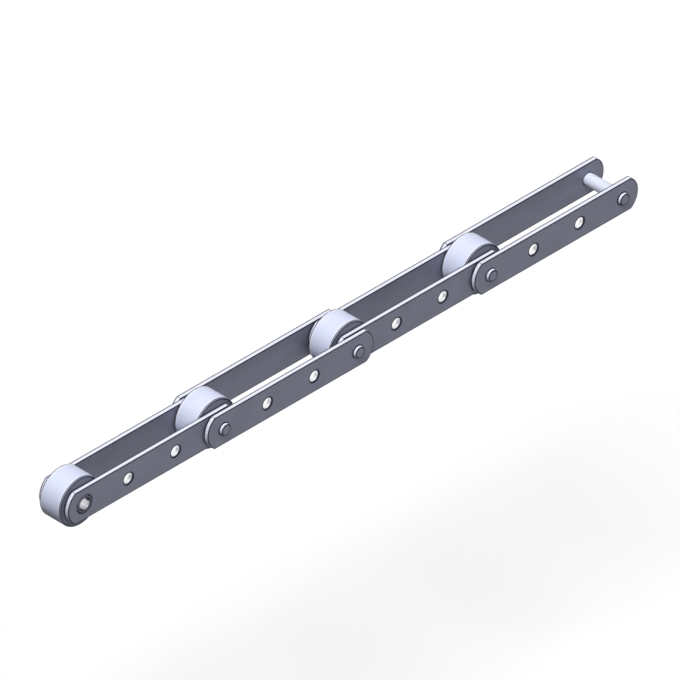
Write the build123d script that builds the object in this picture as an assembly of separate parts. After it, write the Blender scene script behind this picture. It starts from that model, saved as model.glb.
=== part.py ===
from build123d import *
import os

# A strip of four conveyor chain links, inner and outer links in turn.
# The chain runs along X, its pins lie along Y and its front side faces -Y.
# The origin is the centre of the free end bush, and all lengths are in millimetres.

# Chain layout
pitch = 200.0
link_letters = "abcd"
clear_width_inside = 32.0
side_play = 0.25

# Link plates
plate_height = 40.0
plate_thickness = 6.0
plate_end_fullness = 4.0
plate_edge_break = 0.4

# Attachment holes, in the front plates only
attachment_hole_radius = 6.5
attachment_hole_spacing = 70.0
attachment_hole_chamfer = 0.5

# Bushes, pressed into the inner plates
bush_wall = 2.95
bush_stands_proud = 0.5
bush_edge_chamfer = 0.5
bush_rim_break = 0.3

# Pins, pressed into the outer plates up to a shoulder
pin_radius = 7.5
pin_clearance = 0.05
pin_shoulder_height = 0.5
pin_stands_proud = 4.0
pin_end_chamfer = 0.6
pin_lead_length = 2.0
pin_lead_depth = 0.3

# Rollers, turning on the bushes between the inner plates
roller_radius = 30.0
roller_clearance = 0.08
roller_side_play = 0.5
roller_tread_rounding = 1.5
roller_bore_chamfer = 0.8

# Places across the chain, counted from its middle plane
inner_plate_inside = clear_width_inside / 2
inner_plate_outside = inner_plate_inside + plate_thickness
bush_half_length = inner_plate_outside + bush_stands_proud
outer_plate_inside = bush_half_length + side_play
outer_plate_outside = outer_plate_inside + plate_thickness
pin_half_length = outer_plate_outside + pin_stands_proud
roller_half_width = inner_plate_inside - roller_side_play

# Radii that follow from the fits
bush_bore_radius = pin_radius + pin_clearance
bush_radius = bush_bore_radius + bush_wall
roller_bore_radius = bush_radius + roller_clearance
pin_end_radius = pin_radius - pin_shoulder_height

# A plate's ends are rounded about the joints, a little wider than the plate is high
plate_end_radius = plate_height / 2 + plate_end_fullness

front = -1
back = 1


def crossPlane(x):
    # A plane through a joint, square to its pin
    return Plane(origin=(x, 0, 0), x_dir=(1, 0, 0), z_dir=(0, -1, 0))


def makePlate(middle, side, inside, joint_hole_radius, has_attachment):
    # A flat bar with straight edges and ends rounded about the joint centres
    outside = inside + plate_thickness
    outer_face = Plane(origin=(middle, side * outside, 0), x_dir=(1, 0, 0), z_dir=(0, side, 0))
    with BuildPart() as plate:
        with BuildSketch(outer_face):
            SlotCenterToCenter(pitch, 2 * plate_end_radius)
            Rectangle(pitch + 2 * plate_end_radius, plate_height, mode=Mode.INTERSECT)
        extrude(amount=-plate_thickness)
        chamfer(plate.faces().filter_by(Axis.Y).edges(), length=plate_edge_break)
        with Locations(outer_face):
            with GridLocations(pitch, 0, 2, 1):
                Hole(joint_hole_radius)
            if has_attachment:
                with GridLocations(attachment_hole_spacing, 0, 2, 1):
                    CounterSinkHole(
                        radius=attachment_hole_radius,
                        counter_sink_radius=attachment_hole_radius + attachment_hole_chamfer,
                        counter_sink_angle=90,
                    )
    return plate.part


def makeBush(x):
    # A plain sleeve with broken rims and a lead-in at each end of its bore
    with BuildPart() as bush:
        with BuildSketch(crossPlane(x)):
            Circle(bush_radius)
            Circle(bush_bore_radius, mode=Mode.SUBTRACT)
        extrude(amount=bush_half_length, both=True)
        circles = bush.edges().filter_by(GeomType.CIRCLE).sort_by(SortBy.RADIUS)
        chamfer(circles[:2], length=bush_edge_chamfer)
        chamfer(circles[-2:], length=bush_rim_break)
    return bush.part


def makeRoller(x):
    # A plain roller with a rounded tread and a chamfered bore
    with BuildPart() as roller:
        with BuildSketch(crossPlane(x)):
            Circle(roller_radius)
            Circle(roller_bore_radius, mode=Mode.SUBTRACT)
        extrude(amount=roller_half_width, both=True)
        circles = roller.edges().filter_by(GeomType.CIRCLE).sort_by(SortBy.RADIUS)
        chamfer(circles[:2], length=roller_bore_chamfer)
        fillet(circles[-2:], radius=roller_tread_rounding)
    return roller.part


def makePin(x):
    # A turned pin: bearing body, lead-in to each shoulder and a narrower chamfered end
    half_profile = [
        (pin_radius, outer_plate_inside - pin_lead_length),
        (pin_radius - pin_lead_depth, outer_plate_inside),
        (pin_end_radius, outer_plate_inside),
        (pin_end_radius, pin_half_length - pin_end_chamfer),
        (pin_end_radius - pin_end_chamfer, pin_half_length),
        (0, pin_half_length),
    ]
    other_half = [(radius, -y) for radius, y in reversed(half_profile)]
    with BuildPart() as pin:
        with BuildSketch():
            with BuildLine():
                Polyline(*half_profile, *other_half, close=True)
            make_face()
        revolve(axis=Axis.Y)
    return Pos(x, 0, 0) * pin.part


os.makedirs("parts", exist_ok=True)

for number, letter in enumerate(link_letters):
    is_inner = number % 2 == 0
    link_start = number * pitch
    joints = (link_start, link_start + pitch)
    if is_inner:
        kind = "inner"
        inside = inner_plate_inside
        joint_hole_radius = bush_radius
    else:
        kind = "outer"
        inside = outer_plate_inside
        joint_hole_radius = pin_end_radius
    for side, side_name in ((front, "front"), (back, "back")):
        plate = makePlate(link_start + pitch / 2, side, inside, joint_hole_radius, side == front)
        export_step(plate, f"parts/{kind}_plate_{letter}_{side_name}.step")
    for end, x in enumerate(joints):
        piece_number = number // 2 * 2 + end + 1
        if is_inner:
            export_step(makeBush(x), f"parts/bush_{piece_number}.step")
            export_step(makeRoller(x), f"parts/roller_{piece_number}.step")
        else:
            export_step(makePin(x), f"parts/pin_{piece_number}.step")
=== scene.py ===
import math

import bpy
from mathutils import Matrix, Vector


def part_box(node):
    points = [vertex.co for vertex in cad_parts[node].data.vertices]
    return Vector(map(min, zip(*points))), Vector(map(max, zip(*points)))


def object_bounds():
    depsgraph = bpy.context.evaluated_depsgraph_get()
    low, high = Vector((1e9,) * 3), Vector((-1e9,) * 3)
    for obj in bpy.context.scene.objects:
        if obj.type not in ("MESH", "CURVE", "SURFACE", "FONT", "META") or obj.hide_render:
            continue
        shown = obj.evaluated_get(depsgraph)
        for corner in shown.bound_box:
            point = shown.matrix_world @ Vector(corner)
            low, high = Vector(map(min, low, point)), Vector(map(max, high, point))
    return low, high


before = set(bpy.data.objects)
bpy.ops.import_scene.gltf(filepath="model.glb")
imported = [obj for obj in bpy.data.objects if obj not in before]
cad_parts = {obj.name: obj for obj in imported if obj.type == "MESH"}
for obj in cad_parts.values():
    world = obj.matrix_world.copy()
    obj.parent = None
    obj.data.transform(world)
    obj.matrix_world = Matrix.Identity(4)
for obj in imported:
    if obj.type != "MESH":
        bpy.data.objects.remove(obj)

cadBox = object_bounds()
print("frame loaded:", len(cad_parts), "pieces")


class Wire:
    # One output in a shader tree: arithmetic on it adds the Math nodes

    def __init__(self, shader, socket):
        self.shader = shader
        self.socket = socket

    def maths(self, operation, first, second=0.0):
        return self.shader.add("ShaderNodeMath", {"operation": operation}, {0: first, 1: second})

    def __add__(self, other):
        return self.maths("ADD", self, other)

    def __radd__(self, other):
        return self.maths("ADD", other, self)

    def __sub__(self, other):
        return self.maths("SUBTRACT", self, other)

    def __rsub__(self, other):
        return self.maths("SUBTRACT", other, self)

    def __mul__(self, other):
        return self.maths("MULTIPLY", self, other)

    def __rmul__(self, other):
        return self.maths("MULTIPLY", other, self)

    def __abs__(self):
        return self.maths("ABSOLUTE", self)

    def least(self, other):
        return self.maths("MINIMUM", self, other)

    def most(self, other):
        return self.maths("MAXIMUM", self, other)

    def root(self):
        return self.maths("SQRT", self)

    def rise(self, low, high):
        # 0 up to low, 1 from high on and smooth between
        values = {"Value": self, "From Min": low, "From Max": high, "To Min": 0.0, "To Max": 1.0}
        return self.shader.add("ShaderNodeMapRange", {"interpolation_type": "SMOOTHSTEP"}, values)


class Shader:
    # The node tree of a material or of the world: every node comes from add

    def __init__(self, owner):
        owner.use_nodes = True
        self.owner = owner
        self.tree = owner.node_tree
        self.tree.nodes.clear()

    def add(self, kind, settings=None, values=None, out=0):
        node = self.tree.nodes.new(kind)
        for key, value in (settings or {}).items():
            setattr(node, key, value)
        for key, value in (values or {}).items():
            socket = node.inputs[key]
            if isinstance(value, Wire):
                self.tree.links.new(value.socket, socket)
            else:
                socket.default_value = (*value, 1.0) if socket.type == "RGBA" else value
        return Wire(self, node.outputs[out]) if len(node.outputs) else None

    def noise(self, x, y, z, detail=2.0, roughness=0.5):
        vector = self.add("ShaderNodeCombineXYZ", None, {0: x, 1: y, 2: z})
        values = {"Vector": vector, "Scale": 1.0, "Detail": detail, "Roughness": roughness}
        return self.add("ShaderNodeTexNoise", None, values) - 0.5

    def blend(self, factor, first, second):
        return self.add("ShaderNodeMix", {"data_type": "RGBA"}, {0: factor, 6: first, 7: second}, out=2)

    def tone(self, colour, factor):
        return self.add("ShaderNodeVectorMath", {"operation": "SCALE"}, {0: colour, 3: factor})

    def viewer(self):
        # 1 for what the camera, metal or glass sees, 0 for what only lights the scene
        ray = "ShaderNodeLightPath"
        camera = self.add(ray, out="Is Camera Ray")
        glossy = self.add(ray, out="Is Glossy Ray")
        return camera.most(glossy).most(self.add(ray, out="Is Transmission Ray"))


class Steel(Shader):
    # A steel finish: bright where it was cut or turned, dark on the faces square to the pins, a darker
    # finish there deepened as painted shade, and darker still in thin lines painted along the arrises,
    # painted shade where a pin or bush leaves a plate and in the mouths of the bolt holes

    def __init__(self, name, centre):
        super().__init__(bpy.data.materials.new(name))
        place = self.add("ShaderNodeTexCoord", out="Object")
        split = "ShaderNodeSeparateXYZ"
        self.x = self.add(split, None, {0: place}, out="X")
        self.y = self.add(split, None, {0: place}, out="Y")
        self.z = self.add(split, None, {0: place}, out="Z")
        normal = self.add("ShaderNodeNewGeometry", out="True Normal")
        self.lean = abs(self.add(split, None, {0: normal}, out="Y"))    # 1 on a face square to the pins
        self.flat = self.lean.rise(*steel["flatFrom"])
        self.bevel = self.lean.rise(*steel["bevelFrom"]) * (1 - self.flat)
        fromAxis = self.x - centre
        self.radius = (fromAxis * fromAxis + self.z * self.z).root()
        self.gloss = steel["gloss"]

    def blotch(self, size, detail=3.0):
        scale = 1 / size
        return self.noise(self.x * scale, self.y * scale, self.z * scale, detail, steel["blotchRoughness"])

    def near(self, distance, width, soft=0.4):
        # 1 within a width of where the distance is nothing, 0 further off
        return 1 - abs(distance).rise(width * (1 - soft), width * (1 + soft))

    def holeWall(self, distance):
        # 1 on the wall of a hole that is where the distance is nothing
        return self.near(distance, steel["wallBand"]) * (1 - self.lean.rise(*steel["wallUpTo"]))

    def finish(self, darkTone, bright, arris, bump, polish=None, polishRough=0.0):
        # faces square to the pins: their darker finish, deepened as painted shade
        dark = self.tone(steel["darkFaceAndShadeColour"], 1 + darkTone)
        surface = self.blend(self.flat, bright, dark)
        if polish:
            surface = self.blend(polish, surface, steel["polishColour"])
        colour = self.blend(arris, surface, steel["arrisColour"])
        patch = self.blotch(steel["smearSize"]) * steel["smearRough"]
        wave = patch + self.blotch(steel["speckSize"], 1.0) * steel["speckRough"]
        rough = self.flat * (steel["darkRough"] - steel["brightRough"]) + steel["brightRough"] + wave
        metal = self.flat * (steel["darkMetal"] - steel["brightMetal"]) + steel["brightMetal"]
        metal = metal.most(arris)
        if polish:
            bump = bump * (1 - polish)
            metal = metal.most(polish)
            rough = rough * (1 - polish) + polish * polishRough
        normal = self.add("ShaderNodeBump", None, {"Height": bump, "Distance": steel["bumpDepth"]})
        values = {"Base Color": colour, "Metallic": metal, "Roughness": rough, "Normal": normal}
        values["Specular IOR Level"] = self.gloss
        principled = self.add("ShaderNodeBsdfPrincipled", None, values)
        self.add("ShaderNodeOutputMaterial", None, {"Surface": principled})
        return self.owner


steel = {
    # the faces' darker finish, darkened further as painted shade
    "darkFaceAndShadeColour": (0.217, 0.226, 0.302),
    "arrisColour": (0.022, 0.025, 0.045),
    "polishColour": (0.985, 0.983, 1.0),
    "flatFrom": (0.80, 0.95),       # how square to the pins a surface is where the dark face starts,
    "bevelFrom": (0.25, 0.45),      # where a broken edge does
    "wallUpTo": (0.20, 0.50),       # and where a hole's wall ends
    "wallBand": 0.0004,
    "darkRough": 0.50,
    "brightRough": 0.60,
    "smearSize": 0.018,             # large patches and fine specks that shine more or less
    "smearRough": 0.20,
    "speckSize": 0.0015,
    "speckRough": 0.12,
    "blotchRoughness": 0.6,
    "darkMetal": 0.25,
    "brightMetal": 0.02,
    "gloss": 0.5,
    "bumpDepth": 0.00005,
    "ringDrift": 5.0,               # how fast turned rings change across the chain, per metre
}

plateLook = {
    "edgeColour": (0.82, 0.83, 0.95),
    "blotch": 0.030,        # size of the patches in the rolled face
    "streak": 0.0022,       # width of the rolling streaks
    "streakLength": 0.12,
    "grain": 0.0011,
    "shear": 0.002,         # width of the shearing marks on the cut edges
    "shearLength": 0.025,
    "wornRim": 0.004,       # how far the faces are rubbed lighter from the outline
    "wornBase": 0.2,        # how much of that is even
    "faceTone": {"patch": 0.30, "streak": 0.22, "grain": 0.25, "worn": 0.30},
    "edgeTone": {"shear": 0.12, "patch": 0.08},
    "relief": {"streak": 0.5, "grain": 0.4, "shear": 0.3},
    "faceLine": 0.0014,     # dark arris on the faces, the edge break counted in
    "edgeLine": 0.0011,     # and on the cut edges,
    "edgeShift": 0.0005,    # where it is this much wider on the back's side
    "cornerLine": 0.0003,   # and where an end's round starts
    "endFullness": 0.004,   # how much an end's radius is over half the height
    "innerSeat": 0.0105,    # radius of the bush seats
    "outerSeat": 0.0070,    # and of the pin seats
    "boltHole": 0.0065,
    "boltSpacing": 0.070,
    "boltLine": 0.0019,     # dark ring on the face round a bolt hole
    "boltMouth": 0.0015,    # how deep the hole's wall is painted with shade from the front
    "reamedRough": 0.55,    # and how rough it is behind that
}


def plateSteel(node):
    low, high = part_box(node)
    middle = (low + high) / 2
    halfHeight = (high.z - low.z) / 2
    halfThickness = (high.y - low.y) / 2
    endRadius = halfHeight + plateLook["endFullness"]
    halfPitch = (high.x - low.x) / 2 - endRadius
    paint = Steel(node, middle.x)
    fromMiddle = abs(paint.x - middle.x)

    def toCircle(centre, radius):
        off = fromMiddle - centre
        return abs((off * off + paint.z * paint.z).root() - radius)

    beyond = (fromMiddle - halfPitch).most(0.0)
    toEnd = endRadius - (beyond * beyond + paint.z * paint.z).root()
    toOutline = toEnd.least(halfHeight - abs(paint.z))
    seat = plateLook["innerSeat"] if "inner" in node else plateLook["outerSeat"]
    # round the seat the dark line is painted shade where the bush or pin comes through the plate
    toRim = toOutline.least(toCircle(halfPitch, seat))
    faceLine = paint.near(toRim, plateLook["faceLine"])
    toFace = halfThickness - abs(paint.y - middle.y + plateLook["edgeShift"])
    edgeLine = paint.near(toFace, plateLook["edgeLine"]) * (1 - paint.flat)
    reamed = None
    if "front" in node:
        toBolt = toCircle(plateLook["boltSpacing"] / 2, plateLook["boltHole"])
        wall = paint.holeWall(toBolt)
        # a band of painted shade on the hole's wall next to the front face
        mouth = wall * paint.near(paint.y - low.y, plateLook["boltMouth"], 0.2)
        faceLine = faceLine.most(paint.near(toBolt, plateLook["boltLine"]))
        edgeLine = (edgeLine * (1 - wall)).most(mouth)
        reamed = wall - mouth
    cornerAt = halfPitch + math.sqrt(endRadius ** 2 - halfHeight ** 2)
    corner = paint.near(fromMiddle - cornerAt, plateLook["cornerLine"]) * (1 - paint.flat)
    arris = (faceLine * paint.flat).most(edgeLine).most(corner).most(paint.bevel)

    worn = 1 - toOutline.rise(0.0, plateLook["wornRim"])
    long, fine = 1 / plateLook["streakLength"], 1 / plateLook["streak"]
    streak = paint.noise(paint.x * long, paint.y * fine, paint.z * fine, 3.0)
    grain = paint.blotch(plateLook["grain"], 1.0)
    patch = paint.blotch(plateLook["blotch"])
    long, fine = 1 / plateLook["shearLength"], 1 / plateLook["shear"]
    shear = paint.noise(paint.x * fine, paint.y * long, paint.z * fine)
    share = plateLook["faceTone"]
    darkTone = patch * share["patch"] + streak * share["streak"] + grain * share["grain"]
    darkTone = darkTone + worn * (patch + plateLook["wornBase"]) * share["worn"]
    share = plateLook["edgeTone"]
    bright = paint.tone(plateLook["edgeColour"], 1 + shear * share["shear"] + patch * share["patch"])
    share = plateLook["relief"]
    bump = streak * share["streak"] + grain * share["grain"] + shear * share["shear"]
    return paint.finish(darkTone, bright, arris, bump, reamed, plateLook["reamedRough"])


rollerLook = {
    "treadColour": (0.725, 0.77, 0.96),
    "turning": 0.0009,      # width of the turning marks
    "turningDrift": 6.0,    # how fast they change round the tread, per metre
    "blotch": 0.025,
    "treadTone": {"turning": 0.14, "patch": 0.10},
    "faceTone": {"ring": 0.30, "patch": 0.25},
    # a thin painted highlight where the tread's edges start to round
    "paintedHighlightColour": (0.87, 0.89, 0.97),
    "paintedHighlightAt": 0.0129,     # a painted highlight runs round the tread there, counted from the middle,
    "paintedHighlightLine": 0.0007,   # about this far to each side
    "treadEdge": 0.0140,    # where the tread starts to round off, from the middle
    "faceEdge": 0.0285,     # radius at which the side face ends
    "treadLine": 0.0004,
    "faceLine": 0.0006,
    "darkFrom": (0.10, 0.22),
    "gloss": 0.1,
}


def rollerSteel(node):
    low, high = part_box(node)
    paint = Steel(node, (low.x + high.x) / 2)
    # the side faces and the rounded edge of the tread take the dark face colour, partly painted shade
    paint.flat = paint.lean.rise(*rollerLook["darkFrom"])
    paint.gloss = rollerLook["gloss"]
    fine, drift = 1 / rollerLook["turning"], rollerLook["turningDrift"]
    turning = paint.noise(paint.x * drift, paint.y * fine, paint.z * drift, 3.0)
    ring = paint.noise(paint.radius * fine, paint.y * steel["ringDrift"], 0.0, 3.0)
    patch = paint.blotch(rollerLook["blotch"])
    share = rollerLook["faceTone"]
    darkTone = ring * share["ring"] + patch * share["patch"]
    share = rollerLook["treadTone"]
    bright = paint.tone(rollerLook["treadColour"], 1 + turning * share["turning"] + patch * share["patch"])
    fromMiddle = abs(paint.y)
    # a painted highlight in a thin line round each edge of the tread
    paintedHighlight = paint.near(fromMiddle - rollerLook["paintedHighlightAt"], rollerLook["paintedHighlightLine"])
    bright = paint.blend(paintedHighlight, bright, rollerLook["paintedHighlightColour"])
    treadLine = paint.near(fromMiddle - rollerLook["treadEdge"], rollerLook["treadLine"]) * (1 - paint.flat)
    faceLine = paint.near(paint.radius - rollerLook["faceEdge"], rollerLook["faceLine"]) * paint.flat
    bump = turning * (1 - paint.flat) + ring * paint.flat
    return paint.finish(darkTone, bright, treadLine.most(faceLine), bump)


turnedLook = {              # what pins and bushes share
    "colour": (0.77, 0.81, 0.95),
    "ringsPerMetre": 1400.0,
    "groundPerMetre": 1100.0,
    "groundDrift": 30.0,    # how fast the grinding marks change round a piece, per metre
    "blotch": 0.012,
    "endTone": {"ring": 0.35, "patch": 0.20},
    "sideTone": {"ground": 0.10, "patch": 0.08},
    "rimLine": 0.0012,      # dark rim of an end
}

pinLook = {
    "endRadius": 0.0066,
    "proud": 0.004,         # how far the end stands out of the plate
    "cornerLine": 0.0007,   # painted shade in a ring where it does
}

bushLook = {
    "endRadius": 0.0105,
    "boreRadius": 0.00755,
    "honedRough": 0.21,
}


def turnedSteel(node):
    low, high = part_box(node)
    paint = Steel(node, (low.x + high.x) / 2)
    ring = paint.noise(paint.radius * turnedLook["ringsPerMetre"], paint.y * steel["ringDrift"], 0.0)
    drift = turnedLook["groundDrift"]
    ground = paint.noise(paint.x * drift, paint.y * turnedLook["groundPerMetre"], paint.z * drift)
    patch = paint.blotch(turnedLook["blotch"])
    share = turnedLook["endTone"]
    darkTone = ring * share["ring"] + patch * share["patch"]
    share = turnedLook["sideTone"]
    bright = paint.tone(turnedLook["colour"], 1 + ground * share["ground"] + patch * share["patch"])
    bump = ring * paint.flat + ground * (1 - paint.flat)
    look = pinLook if "pin" in node else bushLook
    rim = paint.near(paint.radius - look["endRadius"], turnedLook["rimLine"])
    if "pin" in node:
        plateFace = high.y - pinLook["proud"]
        # painted shade in a ring round the pin where it leaves the plate
        corner = paint.near(abs(paint.y) - plateFace, pinLook["cornerLine"]) * (1 - paint.flat)
        arris = (rim * paint.flat).most(corner).most(paint.bevel)
        return paint.finish(darkTone, bright, arris, bump)
    toBore = paint.radius - bushLook["boreRadius"]
    rim = rim.most(paint.near(toBore, turnedLook["rimLine"]))
    arris = (rim * paint.flat).most(paint.bevel)
    return paint.finish(darkTone, bright, arris, bump, paint.holeWall(toBore), bushLook["honedRough"])


def dress(node):
    if "plate" in node:
        return plateSteel(node)
    if "roller" in node:
        return rollerSteel(node)
    return turnedSteel(node)


for name, piece in sorted(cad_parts.items()):
    piece.data.materials.clear()
    piece.data.materials.append(dress(name))
print("steel finishes made:", len(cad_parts))


studio = {
    "floorSize": 60.0,
    "floorDrop": 0.53,                      # room below the rollers for links that hang down at their limits
    "floorSeen": (0.985, 0.985, 0.985),
    "floorGlow": 0.30,                      # share of plain white in what is seen of the floor
    "floorLit": (0.035, 0.035, 0.037),      # what the floor gives back to the object
    "skySeen": (1.0, 1.0, 1.0),
    "skyLit": (0.04, 0.04, 0.046),          # and what the sky gives it
    "lamps": {
        "key": {"strength": 2.90, "angle": 28.0, "from": (-0.38, -0.20, 0.90)},
        "fill": {"strength": 0.6, "angle": 50.0, "from": (0.10, -0.70, 0.70)},
        "back": {"strength": 0.9, "angle": 50.0, "from": (0.10, 0.97, 0.03)},
    },
}


def floorPaint():
    paint = Shader(bpy.data.materials.new("floor"))
    colour = paint.blend(paint.viewer(), studio["floorLit"], studio["floorSeen"])
    matt = paint.add("ShaderNodeBsdfDiffuse", None, {"Color": colour})
    plain = paint.add("ShaderNodeEmission", None, {"Color": studio["floorSeen"], "Strength": 1.0})
    share = paint.viewer() * studio["floorGlow"]
    mixed = paint.add("ShaderNodeMixShader", None, {0: share, 1: matt, 2: plain})
    paint.add("ShaderNodeOutputMaterial", None, {"Surface": mixed})
    return paint.owner


def makeFloor(height):
    half = studio["floorSize"] / 2
    corners = [(-half, -half, height), (half, -half, height), (half, half, height), (-half, half, height)]
    mesh = bpy.data.meshes.new("floor")
    mesh.from_pydata(corners, [], [(0, 1, 2, 3)])
    floor = bpy.data.objects.new("floor", mesh)
    bpy.context.scene.collection.objects.link(floor)
    mesh.materials.append(floorPaint())


def makeSky():
    world = bpy.data.worlds.new("studio")
    bpy.context.scene.world = world
    sky = Shader(world)
    colour = sky.blend(sky.viewer(), studio["skyLit"], studio["skySeen"])
    light = sky.add("ShaderNodeBackground", None, {"Color": colour, "Strength": 1.0})
    sky.add("ShaderNodeOutputWorld", None, {"Surface": light})


def makeLamp(name):
    look = studio["lamps"][name]
    sun = bpy.data.lights.new(name, "SUN")
    sun.energy = look["strength"]
    sun.angle = math.radians(look["angle"])
    lamp = bpy.data.objects.new(name, sun)
    lamp.rotation_mode = "QUATERNION"
    lamp.rotation_quaternion = Vector(look["from"]).to_track_quat("Z", "Y")
    bpy.context.scene.collection.objects.link(lamp)


makeFloor(cadBox[0].z - studio["floorDrop"])
makeSky()
for lampName in studio["lamps"]:
    makeLamp(lampName)
print("studio lit")


camera = {
    "aim": (0.40036, -0.0017, 0.0010),
    "azimuth": -45.0,
    "elevation": 35.264,
    "lens": 1500.0,             # so long that the view has nearly no perspective
    "sensor": 36.0,
    "frameWidth": 0.7211,       # what the picture spans at the aim, in metres
    "clip": 10.0,               # seen from the aim's distance over this to that distance times this
}


def makeCamera():
    lensData = bpy.data.cameras.new("camera")
    lensData.lens = camera["lens"]
    lensData.sensor_width = camera["sensor"]
    distance = camera["frameWidth"] * camera["lens"] / camera["sensor"]
    lensData.clip_start = distance / camera["clip"]
    lensData.clip_end = distance * camera["clip"]
    turn, rise = math.radians(camera["azimuth"]), math.radians(camera["elevation"])
    back = Vector((math.sin(turn) * math.cos(rise), -math.cos(turn) * math.cos(rise), math.sin(rise)))
    eye = bpy.data.objects.new("camera", lensData)
    eye.location = Vector(camera["aim"]) + back * distance
    eye.rotation_mode = "QUATERNION"
    eye.rotation_quaternion = (-back).to_track_quat("-Z", "Y")
    bpy.context.scene.collection.objects.link(eye)
    bpy.context.scene.camera = eye


makeCamera()
bpy.context.scene.view_settings.view_transform = "Standard"
print("camera placed")
